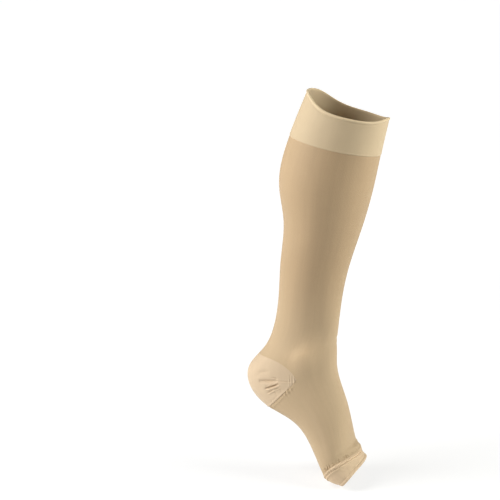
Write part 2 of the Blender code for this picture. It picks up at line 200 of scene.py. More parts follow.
# Creases are soft troughs through their points, each given as (ALONG, AROUND). LIP is a raised fold
# along the lower side, and TAPER makes the ends short and blunt or long and fine. Where SINK is below
# 0 the cloth swells instead, as it does over the two ankle bones.
Crease = namedtuple("Crease", "name sink half lip taper points")
LIP_AT = 1.9
TUBE_CREASES = (
    Crease("instep_upper", 0.70, 4.0, 0.00, 0.7, ((330, -34), (329, 0), (333, 40))),
    Crease("instep_lower", 0.60, 3.5, 0.00, 0.7, ((346, -44), (347, -6), (343, 30))),
    Crease("instep_fine",  0.25, 2.2, 0.06, 0.9, ((338, -28), (337, -4), (340, 22))),
    Crease("ankle_inner",  0.25, 3.0, 0.05, 0.9, ((352, -66), (346, -50), (343, -36))),
    Crease("ankle_outer",  0.30, 3.2, 0.05, 0.9, ((355, 70), (347, 54), (344, 38))),
    Crease("tendon_left",  0.25, 4.5, 0.00, 0.9, ((306, -152), (318, -148), (328, -146))),
    Crease("tendon_right", 0.25, 4.5, 0.00, 0.9, ((302, 154), (316, 149), (327, 147))),
    Crease("toe_inner",    0.90, 3.0, 0.10, 0.7, ((487, -70), (489, -46), (493, -20))),
    Crease("toe_outer",    0.90, 3.0, 0.10, 0.7, ((489, 74), (490, 50), (494, 24))),
    Crease("sole_fold",    0.70, 3.0, 0.00, 0.7, ((489, 196), (488, 158))),
    Crease("sole_short",   0.35, 2.0, 0.08, 0.8, ((481, 186), (482, 171))),
    Crease("inner_bone",  -3.00, 13.0, 0.00, 1.6, ((314, -78), (384, -58))),
    Crease("outer_bone",  -3.00, 13.0, 0.00, 1.6, ((320, 74), (386, 82))),
)


def crease_height(along, around, creases):
    """Height of the cloth over its plain form: below 0 in a crease, above 0 on its lip or a swelling."""
    height = np.zeros(np.shape(along))
    for crease in creases:
        # In millimetres, x is counted round the tube from the crease's first point, and y along it.
        middle_along, middle_around = np.mean(crease.points, axis=0)
        girth_step = np.linalg.norm(tube_point(middle_along, middle_around + 0.5)
                                    - tube_point(middle_along, middle_around - 0.5))
        first = crease.points[0][1]
        x = ((around - first + 180) % 360 - 180) * girth_step
        y = np.asarray(along, float)
        points = [(place, (turn - first) * girth_step) for place, turn in crease.points]
        nearest = np.full(height.shape, np.inf)
        place = np.zeros(height.shape)
        below = np.zeros(height.shape)
        travelled = 0.0
        for (y0, x0), (y1, x1) in zip(points, points[1:]):
            length = math.hypot(x1 - x0, y1 - y0)
            share = np.clip(((x - x0) * (x1 - x0) + (y - y0) * (y1 - y0)) / length ** 2, 0, 1)
            distance = np.hypot(x - x0 - share * (x1 - x0), y - y0 - share * (y1 - y0))
            nearer = distance < nearest
            nearest = np.where(nearer, distance, nearest)
            place = np.where(nearer, travelled + share * length, place)
            below = np.where(nearer, np.sign(y - y0 - share * (y1 - y0)), below)
            travelled += length
        fade = np.sin(np.pi * np.clip(place / travelled, 0, 1)) ** crease.taper
        trough = crease.sink * bump(nearest, crease.half)
        lip = crease.lip * bump(nearest * below - LIP_AT * crease.half, crease.half)
        height += (lip - trough) * fade
    return height


# A soft ridge, or a groove where its height is below 0, runs beside a seam or an edge, AT a distance.
Ridge = namedtuple("Ridge", "height at half")


def raised(ridge, distance):
    return ridge.height * bump(distance - ridge.at, ridge.half)


# Along a seam the looser cloth puckers: small uneven waves across the seam that die away from it.
PUCKER_WAVES = (53, 61, 67, 74, 83)
PUCKER_STRENGTH = 1.6


def pucker(around, seed):
    """Uneven wave round the tube, between about -1 and 1."""
    phases = np.random.default_rng(seed).uniform(0, 2 * np.pi, len(PUCKER_WAVES))
    waves = [np.cos(np.radians(count * around) + phase) for count, phase in zip(PUCKER_WAVES, phases)]
    return sum(waves) / len(PUCKER_WAVES) * PUCKER_STRENGTH


# The cloth is knitted with 360 wales. In pairs they make the fine ribs that show on the leg.
WALES = 360
RIBS = 180
RIB_HEIGHT = 0.05
COLUMNS_PER_RIB = 4


def ribs(around):
    return RIB_HEIGHT * np.cos(np.radians(RIBS * around))


def knit_columns(start=-180.0, stop=180.0, closed=True):
    """AROUND of evenly spaced columns; a closed tube leaves the last one out."""
    count = round((stop - start) / 360 * RIBS * COLUMNS_PER_RIB)
    return np.linspace(start, stop, count + 1)[:count if closed else None]


def rows_between(top, bottom, shares):
    """ALONG of every point: one row for each share of the way from the top line to the bottom."""
    return top + (bottom - top) * np.asarray(shares)[:, None]


def graded_shares(*stretches):
    """Shares from 0 to 1: each stretch is (where it ends, number of rows in it)."""
    shares = [0.0]
    for end, count in stretches:
        shares += list(np.linspace(shares[-1], end, count + 1)[1:])
    return np.array(shares)


# The inner face is plainer than the outer: it keeps every fourth column, and often every second row.
INNER_COLUMN_STEP = 4


def every(count, step, closed):
    """Indices of the rows or columns that the inner face keeps."""
    kept = list(range(0, count, step))
    if not closed and kept[-1] != count - 1:
        kept.append(count - 1)
    return kept


def shell_parts(along, around, outer_height, inner_height, closed=True, row_step=2, courses_from=0.0):
    """Points, faces and knit coordinates of a thin shell, and its edge faces, kept apart.

    The courses of the knit are counted along the tube from COURSES_FROM.
    """
    rows, columns = along.shape
    normal = tube_normal(along, around)
    skin = tube_point(along, around)
    kept_rows = every(rows, row_step, False)
    kept_columns = every(columns, INNER_COLUMN_STEP, closed)
    outside = skin + normal * outer_height[..., None]
    inside = (skin + normal * inner_height[..., None])[np.ix_(kept_rows, kept_columns)]
    points = np.concatenate([outside.reshape(-1, 3), inside.reshape(-1, 3)]) * MM
    knit = np.stack([around / 360, (along - courses_from) * MM], -1)
    places = np.concatenate([knit.reshape(-1, 2), knit[np.ix_(kept_rows, kept_columns)].reshape(-1, 2)])

    outer = np.arange(rows * columns).reshape(rows, columns)
    inner = rows * columns + np.arange(len(kept_rows) * len(kept_columns)).reshape(len(kept_rows), -1)
    if closed:
        outer = np.concatenate([outer, outer[:, :1]], axis=1)
        inner = np.concatenate([inner, inner[:, :1]], axis=1)
        kept_columns = kept_columns + [columns]
    faces = np.stack([outer[:-1, :-1], outer[1:, :-1], outer[1:, 1:], outer[:-1, 1:]], -1)
    faces = faces.reshape(-1, 4).tolist()
    back = np.stack([inner[:-1, :-1], inner[:-1, 1:], inner[1:, 1:], inner[1:, :-1]], -1)
    faces += back.reshape(-1, 4).tolist()
    edge = {"top": [], "bottom": []}
    for m, (first, last) in enumerate(zip(kept_columns, kept_columns[1:])):
        edge["top"].append([*outer[0, first:last + 1], inner[0, m + 1], inner[0, m]])
        edge["bottom"].append([outer[-1, first], inner[-1, m], inner[-1, m + 1],
                               *outer[-1, last:first:-1]])
    sides = []
    if not closed:
        for m, (first, last) in enumerate(zip(kept_rows, kept_rows[1:])):
            sides.append([outer[first, 0], inner[m, 0], inner[m + 1, 0], *outer[last:first:-1, 0]])
            sides.append([*outer[first:last + 1, -1], inner[m + 1, -1], inner[m, -1]])
    return points, faces, edge, sides, places


SHARP_FOLD = 55


def new_piece(name, points, faces, places, material):
    """Object from points and faces, with the knit's own coordinates as a UV map."""
    mesh = bpy.data.meshes.new(name)
    mesh.from_pydata(points, [], faces)
    mesh.materials.append(material)
    corners = np.empty(len(mesh.loops), int)
    mesh.loops.foreach_get("vertex_index", corners)
    starts = np.empty(len(mesh.polygons), int)
    mesh.polygons.foreach_get("loop_start", starts)
    sizes = np.empty(len(mesh.polygons), int)
    mesh.polygons.foreach_get("loop_total", sizes)

    # A face across the middle of the back keeps all its corners on one side of the knit's cut.
    at = places[corners]
    first = np.repeat(at[starts, 0], sizes)
    at[:, 0] += np.round(first - at[:, 0])
    layer = mesh.uv_layers.new(name="knit")
    layer.uv.foreach_set("vector", at.astype(np.float32).ravel())
    mesh.shade_smooth()
    mesh.set_sharp_from_angle(angle=math.radians(SHARP_FOLD))
    mesh.validate()
    piece = bpy.data.objects.new(name, mesh)
    bpy.context.scene.collection.objects.link(piece)
    return piece


class Nodes:
    """Short way to add and join the nodes of one material."""

    def __init__(self, name):
        self.material = bpy.data.materials.new(name)
        self.material.use_nodes = True
        self.tree = self.material.node_tree
        self.shader = self.tree.nodes["Principled BSDF"]

    def add(self, kind, inputs=(), **settings):
        node = self.tree.nodes.new("ShaderNode" + kind)
        for key, value in settings.items():
            setattr(node, key, value)
        for key, value in dict(inputs).items():
            self.put(value, node.inputs[key])
        return node

    def put(self, value, socket):
        if isinstance(value, bpy.types.NodeSocket):
            self.tree.links.new(value, socket)
        else:
            socket.default_value = value

    def math(self, operation, *values):
        return self.add("Math", dict(enumerate(values)), operation=operation).outputs[0]

    def blend(self, kind, share, a, b):
        """Mix two colours; their sockets come after the node's sockets for numbers and vectors."""
        mix = self.add("Mix", {0: share, 6: a, 7: b}, data_type="RGBA", blend_type=kind)
        return mix.outputs[2]

    def noise(self, vector, detail, roughness, scale=1.0):
        node = self.add("TexNoise", {"Vector": vector, "Scale": scale, "Detail": detail,
                                     "Roughness": roughness})
        return node.outputs["Fac"]

    def stretched(self, vector, x, y):
        node = self.add("Mapping", {"Vector": vector, "Scale": (x, y, 1.0)})
        return node.outputs["Vector"]

    def spread(self, uneven, middle, reach):
        """A noise crowds between 0.3 and 0.7: stretch it to run from middle - reach to middle + reach."""
        node = self.add("MapRange", {"Value": uneven, "From Min": 0.3, "From Max": 0.7,
                                     "To Min": middle - reach, "To Max": middle + reach})
        return node.outputs[0]


def linear(red, green, blue):
    """A colour given as it looks on a screen, 0 to 255, as the renderer wants it."""
    parts = [part / 255 for part in (red, green, blue)]
    return tuple(part / 12.92 if part <= 0.04045 else ((part + 0.055) / 1.055) ** 2.4
                 for part in parts) + (1.0,)


# A fade tints the cloth more and more along the tube, from START to STOP. On the leg it grows paler towards
# the ankle, and on the band it is a painted highlight along the rolled rim.
# A spot is a painted highlight: it makes the cloth paler round one place on each side of the tube, where the
# ankle bones catch the light.
Fade = namedtuple("Fade", "start stop tint")
HighlightSpot = namedtuple("HighlightSpot", "around along reach_around reach_along tint")

# A stitch's legs lean over by this many courses, and lose this share where one loop enters the next.
STITCH_LEAN = 1.5
STITCH_NECK = 0.65
STITCH_DEPTH = 0.12

# What each kind of unevenness adds to the bump, the colour and the roughness.
GRAIN_SHARE = 0.5
STREAK_SHARE = 0.55
BAR_SHARE = 0.2
CLOUD_SHARE = 0.25
ROUGH_SPREAD = 0.04


def knit_material(name, colour, gap_colour, courses_per_mm, rough, relief, sheen, streaks,
                  fade=None, painted_highlight=None):
    """Plain jersey over inlaid elastane: columns of V stitches with soft gaps between them."""
    n = Nodes(name)
    knit = n.add("UVMap", uv_map="knit").outputs["UV"]
    place = n.add("SeparateXYZ", {0: knit})
    wale = n.math("MULTIPLY", place.outputs[0], WALES)
    course = n.math("MULTIPLY", place.outputs[1], courses_per_mm / MM)

    # One stitch: two legs that lean outwards from the middle of the wale, round across each leg.
    across = n.math("ABSOLUTE", n.math("SUBTRACT", n.math("FRACT", wale), 0.5))
    leg = n.math("SINE", n.math("MULTIPLY", across, 2 * math.pi))
    lean = n.math("ADD", course, n.math("MULTIPLY", across, STITCH_LEAN))
    loop = n.math("ABSOLUTE", n.math("SINE", n.math("MULTIPLY", lean, math.pi)))
    thickness = n.math("ADD", n.math("MULTIPLY", loop, STITCH_NECK), 1 - STITCH_NECK)
    stitch = n.math("MULTIPLY", leg, thickness)

    # Uneven yarn: faint streaks down the wales, fainter bars along the courses, broad soft clouds.
    streak = n.noise(n.stretched(knit, 70.0, 9.0), detail=3.0, roughness=0.6)
    bar = n.noise(n.stretched(knit, 3.0, 700.0), detail=2.0, roughness=0.5)
    cloud = n.noise(n.add("TexCoord").outputs["Object"], detail=2.0, roughness=0.5, scale=16.0)
    uneven = n.math("ADD", n.math("MULTIPLY", streak, STREAK_SHARE),
                    n.math("ADD", n.math("MULTIPLY", bar, BAR_SHARE),
                           n.math("MULTIPLY", cloud, CLOUD_SHARE)))
    tone = n.spread(uneven, 1.0, streaks)
    cloth = n.blend("MIX", stitch, gap_colour, colour)
    cloth = n.blend("MULTIPLY", 1.0, cloth, tone)
    # On the leg the fade makes the cloth paler towards the ankle; on the band it is a painted highlight
    # along the rolled rim.
    if fade:
        share = n.add("MapRange", {"Value": place.outputs[1], "From Min": fade.start * MM,
                                   "From Max": fade.stop * MM}, interpolation_type="SMOOTHSTEP")
        cloth = n.blend("MULTIPLY", share.outputs[0], cloth, fade.tint)
    # Painted highlight: paler cloth round one place on each side of the tube, standing in for the light that
    # the ankle bones catch.
    if painted_highlight:
        aside = n.math("SUBTRACT", n.math("ABSOLUTE", place.outputs[0]), painted_highlight.around / 360)
        past = n.math("SUBTRACT", place.outputs[1], painted_highlight.along * MM)
        from_middle = n.add("CombineXYZ", {0: n.math("MULTIPLY", aside, 360 / painted_highlight.reach_around),
                                           1: n.math("MULTIPLY", past, 1 / (painted_highlight.reach_along * MM))})
        share = n.add("TexGradient", {0: from_middle.outputs[0]}, gradient_type="QUADRATIC_SPHERE")
        cloth = n.blend("MULTIPLY", share.outputs["Fac"], cloth, painted_highlight.tint)
    n.put(cloth, n.shader.inputs["Base Color"])

    # The stitches and the fibres' fine grain are a shallow bump.
    grain = n.noise(n.stretched(knit, 900.0, 2400.0), detail=2.0, roughness=0.6)
    height = n.math("ADD", stitch, n.math("MULTIPLY", grain, GRAIN_SHARE))
    surface = n.add("Bump", {"Height": height, "Strength": relief, "Distance": STITCH_DEPTH * MM})
    n.put(surface.outputs[0], n.shader.inputs["Normal"])
    n.put(n.spread(uneven, rough, ROUGH_SPREAD), n.shader.inputs["Roughness"])
    n.shader.inputs["Specular IOR Level"].default_value = 0.28
    n.shader.inputs["Sheen Weight"].default_value = sheen
    n.shader.inputs["Sheen Roughness"].default_value = 0.35
    n.shader.inputs["Sheen Tint"].default_value = linear(255, 246, 232)
    return n.material


LEG_COLOUR = linear(187, 162, 128)
LEG_GAP_COLOUR = linear(166, 139, 105)
# The leg's cloth grows paler towards the ankle.
LEG_FADE = Fade(start=200, stop=345, tint=(1.18, 1.24, 1.32, 1))
# Painted highlight over the two ankle bones, where they catch the light from above.
PAINTED_ANKLE_HIGHLIGHT = HighlightSpot(around=68, along=337, reach_around=58, reach_along=46, tint=(1.30, 1.28, 1.26, 1))
leg_knit = knit_material("leg_knit", LEG_COLOUR, LEG_GAP_COLOUR, courses_per_mm=1.9, rough=0.62, relief=0.5,
                         sheen=0.22, streaks=0.045, fade=LEG_FADE, painted_highlight=PAINTED_ANKLE_HIGHLIGHT)

# The tube is made in two lengths that share their points in front of the heel pocket. Its rows crowd
# together beside the seams, where the relief is finest.
tube_columns = knit_columns()
on_pocket = back_angle(tube_columns) < POCKET_REACH
leg_rows = graded_shares((0.06, 8), (0.80, 40), (1.0, 24))
leg_along = rows_between(band_seam_line(tube_columns), pocket_top_line(tube_columns), leg_rows)
foot_rows = graded_shares((0.10, 12), (0.82, 20), (1.0, 16))
foot_along = rows_between(pocket_bottom_line(tube_columns), toe_seam_line(tube_columns), foot_rows)

# Distances are counted from the band seam, from the heel pocket's lower line, and back from the toe
# seam. The pocket's seam fades out over the last degrees before its points.
BAND_PINCH = Ridge(-0.5, at=0.8, half=0.9)
POCKET_TUCK = Ridge(-0.4, at=0.0, half=0.9)
POCKET_SECOND_RIDGE = Ridge(0.3, at=3.0, half=1.3)
POCKET_DENTS = Ridge(-0.8, at=5.4, half=1.3)
POCKET_PUCKERS = Ridge(0.4, at=1.5, half=4.5)
POCKET_SEAM_FADE = 14.0
TOE_SEAM_LIFT = Ridge(0.6, at=0.0, half=3.0)
TOE_PUCKERS = Ridge(0.42, at=1.0, half=4.5)
TOE_GATHERS = Ridge(-1.2, at=2.2, half=3.2)
GATHER_PITCH = 6.2
GATHER_SHIFT = 0.3
GATHER_HALF = 1.5
HEM_LIFT = 2.4
HEM_JOINTS_SPREAD = 42.0
FOOT_LIFT_HALF = 3.0
FOLD_HEIGHT = 4.6
FOLD_LENGTH = 10.6
FOLD_SOFTNESS = 1.1


def gather_marks(around, seed):
    """Short sharp pleats round the tube: 0 between them, up to 1 in the deepest."""
    random = np.random.default_rng(seed)
    middles = np.arange(-180, 180, GATHER_PITCH)
    middles = middles + random.uniform(-GATHER_SHIFT, GATHER_SHIFT, middles.shape) * GATHER_PITCH
    depths = random.uniform(0.1, 1.0, middles.shape)
    turns = (np.asarray(around)[..., None] - middles + 180) % 360 - 180
    return (depths * bump(turns, GATHER_HALF)).sum(-1)


def leg_relief(along, around):
    """The leg is pinched a little where the band is joined to it."""
    pinch = raised(BAND_PINCH, along - band_seam_line(around))
    return crease_height(along, around, TUBE_CREASES) + ribs(around) + pinch


def foot_rise(to_seam, around):
    """The foot rises to the hem, and over the toes' joints it is pushed up into a fold."""
    fold = over_joints(around, FOLD_SPREAD) / (1 + np.exp((to_seam - FOLD_LENGTH) / FOLD_SOFTNESS))
    lift = HEM_LIFT * over_joints(around, HEM_JOINTS_SPREAD) * bump(to_seam, FOOT_LIFT_HALF)
    return FOLD_HEIGHT * fold + lift * (1 - fold)


def foot_relief(along, around):
    """The foot tucks under the heel pocket's ridge, puckers there, and rises to the toe seam."""
    past_pocket = along - pocket_bottom_line(around)
    to_toe = toe_seam_line(around) - along
    under_pocket = np.clip((POCKET_REACH - back_angle(around)) / POCKET_SEAM_FADE, 0, 1)
    at_pocket = (raised(POCKET_TUCK, past_pocket) + raised(POCKET_SECOND_RIDGE, past_pocket)
                 + raised(POCKET_DENTS, past_pocket) * gather_marks(around, seed=29)
                 + raised(POCKET_PUCKERS, past_pocket) * pucker(around, seed=3))
    at_toe = (raised(TOE_SEAM_LIFT, to_toe) + raised(TOE_PUCKERS, to_toe) * pucker(around, seed=5)
              + raised(TOE_GATHERS, to_toe) * gather_marks(around, seed=17))
    return (crease_height(along, around, TUBE_CREASES) + ribs(around) + at_pocket * under_pocket + at_toe
            + foot_rise(to_toe, around))


# Over the pocket's opening both lengths end in a plain edge, and elsewhere they are welded together.
tube_points = []
tube_faces = []
tube_places = []
for along, relief, open_edge in ((leg_along, leg_relief, "top"), (foot_along, foot_relief, "bottom")):
    around = np.broadcast_to(tube_columns, along.shape)
    height = relief(along, around)
    points, faces, edge, _, places = shell_parts(along, around, height, height - LEG_WALL)
    joint = "bottom" if open_edge == "top" else "top"
    kept = every(len(tube_columns), INNER_COLUMN_STEP, True)
    beside_pocket = [face for face, first in zip(edge[joint], kept)
                     if on_pocket[first] or on_pocket[(first + INNER_COLUMN_STEP) % len(tube_columns)]]
    offset = sum(len(part) for part in tube_points)
    tube_faces += [[i + offset for i in face] for face in faces + edge[open_edge] + beside_pocket]
    tube_points.append(points)
    tube_places.append(places)
leg_and_foot = new_piece("leg_and_foot", np.concatenate(tube_points), tube_faces,
                         np.concatenate(tube_places), leg_knit)

WELD_DISTANCE = 0.01
joined = bmesh.new()
joined.from_mesh(leg_and_foot.data)
bmesh.ops.remove_doubles(joined, verts=joined.verts, dist=WELD_DISTANCE * MM)
joined.to_mesh(leg_and_foot.data)
joined.free()

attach(leg_and_foot, "root")
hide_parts("leg", "foot")


# =============================================================================================
# Heel pocket
# A cup of paler, softer yarn, knitted to and fro in shorter and shorter rows and then longer again,
# so that it reaches forward to a point on each side. Its spare cloth folds into small tucks.
# =============================================================================================

POCKET_WALL = 0.9
POCKET_TOP_RIDGE = Ridge(0.12, at=1.2, half=1.2)
POCKET_RIDGE = Ridge(0.5, at=1.2, half=1.2)
POCKET_SEAM_PUCKER = Ridge(0.3, at=0.0, half=4.0)
POCKET_POINT_FADE = 26.0
POCKET_POINT_GAP = 0.2

# Seen from each side the tucks run towards the pocket's point; the outer side's are less sharp.
POCKET_TUCKS = (
    Crease("upper_hollow", 0.90, 2.2, 0.06, 0.8, ((352.4, -132), (353.0, -120), (353.8, -110))),
    Crease("long_tuck",    2.80, 1.9, 0.15, 0.6,
           ((361.6, -130), (363.4, -120), (366.2, -107), (366.9, -102))),
    Crease("gore_line",    0.70, 0.8, 0.06, 0.3, ((366.6, -103), (369.2, -97), (371.6, -91), (373.6, -86))),
    Crease("branch",       0.90, 0.8, 0.15, 0.8, ((360.6, -109), (362.6, -105), (365.0, -101))),
    Crease("deep_tuck",    3.00, 1.0, 0.70, 0.6,
           ((371.2, -124), (371.4, -116), (371.4, -108), (371.0, -101))),
    Crease("lower_tuck",   0.90, 0.7, 0.35, 0.8, ((375.0, -111), (375.8, -102))),
    Crease("short_tuck",   1.20, 0.8, 0.50, 0.7, ((376.6, -125), (376.2, -118), (375.4, -111))),
    Crease("seam_dent",    0.70, 1.4, 0.30, 0.8, ((377.5, -113), (381.5, -110))),
    Crease("seam_dimple",  0.60, 1.1, 0.25, 0.8, ((376.8, -104), (379.4, -101))),
    Crease("outer_hollow", 0.70, 2.6, 0.05, 0.8, ((350.0, 134), (351.5, 120), (353.6, 106))),
    Crease("outer_long",   2.20, 2.0, 0.20, 0.5, ((361.0, 132), (363.0, 120), (366.0, 106), (367.6, 100))),
    Crease("outer_gore",   0.80, 0.8, 0.10, 0.3, ((367.0, 102), (369.6, 95), (373.4, 85))),
    Crease("outer_deep",   2.40, 1.2, 0.50, 0.6, ((371.5, 127), (371.4, 115), (370.4, 104))),
    Crease("outer_short",  0.90, 0.9, 0.30, 0.8, ((376.6, 121), (376.0, 110))),
    Crease("under_heel",   0.45, 2.4, 0.06, 0.8, ((380.0, -168), (382.0, 178), (381.0, 166))),
)

# Where the rows turn round, three stitches of each side's gore stand up as short ridges: each is given
# as ALONG and the angle from the front at its upper end, and then at its lower end.
GORE_STITCHES = tuple(
    Crease("gore_stitch", -0.50, 0.65, 0.0, 0.3, ((upper, side * from_turn), (lower, side * to_turn)))
    for side in (-1, 1)
    for upper, from_turn, lower, to_turn in ((363.5, 85.5, 378.0, 90.0), (365.0, 82.5, 377.4, 86.5),
                                             (368.0, 79.7, 376.8, 82.5)))

pocket_half = POCKET_REACH - POCKET_POINT_GAP
pocket_columns = knit_columns(-pocket_half, pocket_half, closed=False) + 180
pocket_rows = graded_shares((0.03, 4), (0.34, 34), (0.75, 84), (1.0, 40))
pocket_along = rows_between(pocket_top_line(pocket_columns), pocket_bottom_line(pocket_columns), pocket_rows)
pocket_around = np.broadcast_to(pocket_columns, pocket_along.shape)
from_top = pocket_along - pocket_top_line(pocket_around)
to_bottom = pocket_bottom_line(pocket_around) - pocket_along
behind_point = np.clip((POCKET_REACH - back_angle(pocket_around)) / POCKET_POINT_FADE, 0, 1)
pocket_height = (crease_height(pocket_along, pocket_around, TUBE_CREASES + POCKET_TUCKS + GORE_STITCHES)
                 + raised(POCKET_TOP_RIDGE, from_top) + raised(POCKET_RIDGE, to_bottom) * behind_point
                 + raised(POCKET_SEAM_PUCKER, to_bottom) * pucker(pocket_around, seed=8))
points, faces, edge, sides, places = shell_parts(
    pocket_along, pocket_around, pocket_height, pocket_height - POCKET_WALL, closed=False)

HEEL_COLOUR = linear(214, 192, 163)
HEEL_GAP_COLOUR = linear(195, 171, 141)
heel_knit = knit_material("heel_knit", HEEL_COLOUR, HEEL_GAP_COLOUR, courses_per_mm=1.7, rough=0.72,
                          relief=0.6, sheen=0.25, streaks=0.03)
heel_cup = new_piece("heel_cup", points, faces + edge["top"] + edge["bottom"] + sides, places, heel_knit)
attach(heel_cup, "root")
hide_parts("heel_pocket")


# =============================================================================================
# Top band
# A welt knitted double and turned over on itself, so its upper edge is a fold. It is a finer, paler
# and springier knit than the leg, stands a little proud of it, and the fold rolls outwards.
# =============================================================================================

BAND_WALL = 1.6
BAND_PROUD = 0.5
RIM_WAVES = (10.3, -8.3, -5.7, 0.2, 0.0, 0.8)
RIM_ROLL = Ridge(0.95, at=1.7, half=1.3)
RIM_GROOVE = Ridge(-0.45, at=4.2, half=0.9)
BAND_SEAM_RIDGE = Ridge(0.12, at=1.4, half=0.9)
BAND_SEAM_PUCKER = Ridge(0.05, at=0.0, half=4.0)
BAND_EDGE_ROUND = 0.7

# A fold and a rounded corner stop just short of square, so that no two rows of points fall together.
FOLD_CLOSED = 0.97
CORNER_CLOSED = 0.98

# The doubled knit is finer: its ribs are lower, and die out where it turns over.
FINE_RIB_SHARE = 0.6
FINE_RIB_FADE = 1.6


def rim_line(around):
    """Highest at the back of the knee, lowest at the sides: cosine waves added from back to front."""
    turn = np.radians(back_angle(around))
    return sum(wave * np.cos(count * turn) for count, wave in enumerate(RIM_WAVES))


def folded_edge(to_edge, thickness):
    """Outer and inner face heights of a folded wall, from the distance to its fold."""
    radius = thickness / 2
    short = np.clip(1 - to_edge / radius, 0, 1)
    half = radius * np.sqrt(1 - FOLD_CLOSED * short ** 2)
    return -radius + half, -radius - half


def rounded_off(to_edge, radius):
    """How far a face drops at a plain edge with rounded corners."""
    short = np.clip(1 - to_edge / radius, 0, 1)
    return -radius * (1 - np.sqrt(1 - CORNER_CLOSED * short ** 2))


def fine_ribs(around, to_fold):
    return FINE_RIB_SHARE * ribs(around) * (1 - bump(to_fold, FINE_RIB_FADE))


# Rows crowd together where the cloth turns over: these are their distances from the fold.
band_columns = knit_columns()
fold_rows = np.array([0.0, 0.06, 0.16, 0.30, 0.48, 0.70, 1.0, 1.4, 1.9, 2.5, 3.2, 4.0])
rim = rim_line(band_columns)
seam = band_seam_line(band_columns)
flat_rows = graded_shares((0.9, 40), (1.0, 12))[1:]
band_along = np.concatenate([rim + fold_rows[:, None], rows_between(rim + fold_rows[-1], seam, flat_rows)])
band_around = np.broadcast_to(band_columns, band_along.shape)
below_rim = band_along - rim
above_seam = seam - band_along
band_outer, band_inner = folded_edge(below_rim, BAND_WALL)
band_outer = (band_outer + BAND_PROUD + raised(RIM_ROLL, below_rim) + raised(RIM_GROOVE, below_rim)
              + rounded_off(above_seam, BAND_EDGE_ROUND) + raised(BAND_SEAM_RIDGE, above_seam)
              + raised(BAND_SEAM_PUCKER, above_seam) * pucker(band_around, seed=12)
              + fine_ribs(band_around, below_rim))
band_inner = band_inner + BAND_PROUD
points, faces, edge, _, places = shell_parts(
    band_along, band_around, band_outer, band_inner, row_step=1, courses_from=rim)

BAND_COLOUR = linear(201, 181, 149)
BAND_GAP_COLOUR = linear(183, 162, 130)
# Painted highlight: the band is paler just below its fold, where the rolled rim catches the light from
# above.
PAINTED_RIM_HIGHLIGHT = Fade(start=3.2, stop=1.6, tint=(1.22, 1.24, 1.24, 1))
band_knit = knit_material("band_knit", BAND_COLOUR, BAND_GAP_COLOUR, courses_per_mm=2.2, rough=0.66,
                          relief=0.5, sheen=0.22, streaks=0.025, fade=PAINTED_RIM_HIGHLIGHT)
knee_welt = new_piece("knee_welt", points, faces + edge["top"] + edge["bottom"], places, band_knit)
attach(knee_welt, "root")
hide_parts("top_band")


# =============================================================================================
# Toe band
# The end of the foot, turned in and linked down as a double hem that leaves the toes bare. The
# tight toe joints push it back, so it bunches into two ridges along its seam, highest in front.
# =============================================================================================

HEM_WALL = 1.7
TOE_EDGE = 524.2
TOE_EDGE_FRONT_DROP = 1.8
HEM_PROUD = 0.4
HEM_BALL_SPREAD = 60.0
HEM_RIDGE_SIDE = 1.1
HEM_RIDGE_FRONT = 1.9
HEM_RIDGE_SOLE = 0.2
HEM_RIDGE_AT = 2.5
HEM_RIDGE_FALL = 4.0
HEM_RIDGE_FRONT_FALL = 8.0
HEM_RIDGE_HOLLOW = 0.5
HEM_EDGE_ROUND = 0.9

# The first crest lies this far past the seam, and farther in front. The first five ridges are counted
# from it, the last two back from the edge: the line of linking stitches and the roll of the fold.
HEM_CREST = 1.7
HEM_CREST_FRONT_DROP = 1.2
FIRST_RIDGE = Ridge(0.55, at=0.0, half=1.0)
VALLEY = Ridge(-0.75, at=2.3, half=1.0)
SECOND_RIDGE = Ridge(0.5, at=4.6, half=1.0)
FIRST_GATHERS = Ridge(0.25, at=0.0, half=2.6)
SECOND_GATHERS = Ridge(0.15, at=4.6, half=2.2)
STITCH_LINE = Ridge(-0.45, at=4.6, half=0.7)
EDGE_ROLL = Ridge(0.3, at=2.2, half=1.4)


def hem_ridge(past_seam, around):
    """The turned hem bunches up along the toe seam, most of all over the toes' joints."""
    in_front = over_joints(around, HEM_JOINTS_SPREAD)
    under_ball = bump(back_angle(around), HEM_BALL_SPREAD)
    height = (HEM_RIDGE_SIDE + (HEM_RIDGE_FRONT - HEM_RIDGE_SIDE) * in_front
              + (HEM_RIDGE_SOLE - HEM_RIDGE_SIDE) * under_ball)
    fall = HEM_RIDGE_FALL + (HEM_RIDGE_FRONT_FALL - HEM_RIDGE_FALL) * in_front
    return height * bump(past_seam - HEM_RIDGE_AT, fall)


hem_columns = knit_columns()
hem_top = toe_seam_line(hem_columns)
hem_edge = TOE_EDGE + TOE_EDGE_FRONT_DROP * over_joints(hem_columns, HEM_JOINTS_SPREAD)
hem_fold_rows = np.array([2.6, 1.9, 1.4, 1.0, 0.70, 0.48, 0.30, 0.16, 0.06, 0.0])
hem_rows = graded_shares((0.1, 8), (0.5, 24), (1.0, 20))
hem_along = np.concatenate([rows_between(hem_top, hem_edge - hem_fold_rows[0], hem_rows),
                            hem_edge - hem_fold_rows[1:, None]])
hem_around = np.broadcast_to(hem_columns, hem_along.shape)
past_seam = hem_along - hem_top
to_edge = hem_edge - hem_along
hem_outer, hem_inner = folded_edge(to_edge, HEM_WALL)
in_front = over_joints(hem_around, HEM_JOINTS_SPREAD)
past_crest = past_seam - HEM_CREST - HEM_CREST_FRONT_DROP * in_front
ridge = hem_ridge(past_seam, hem_around)
hem_lift = HEM_PROUD + HEM_LIFT * in_front
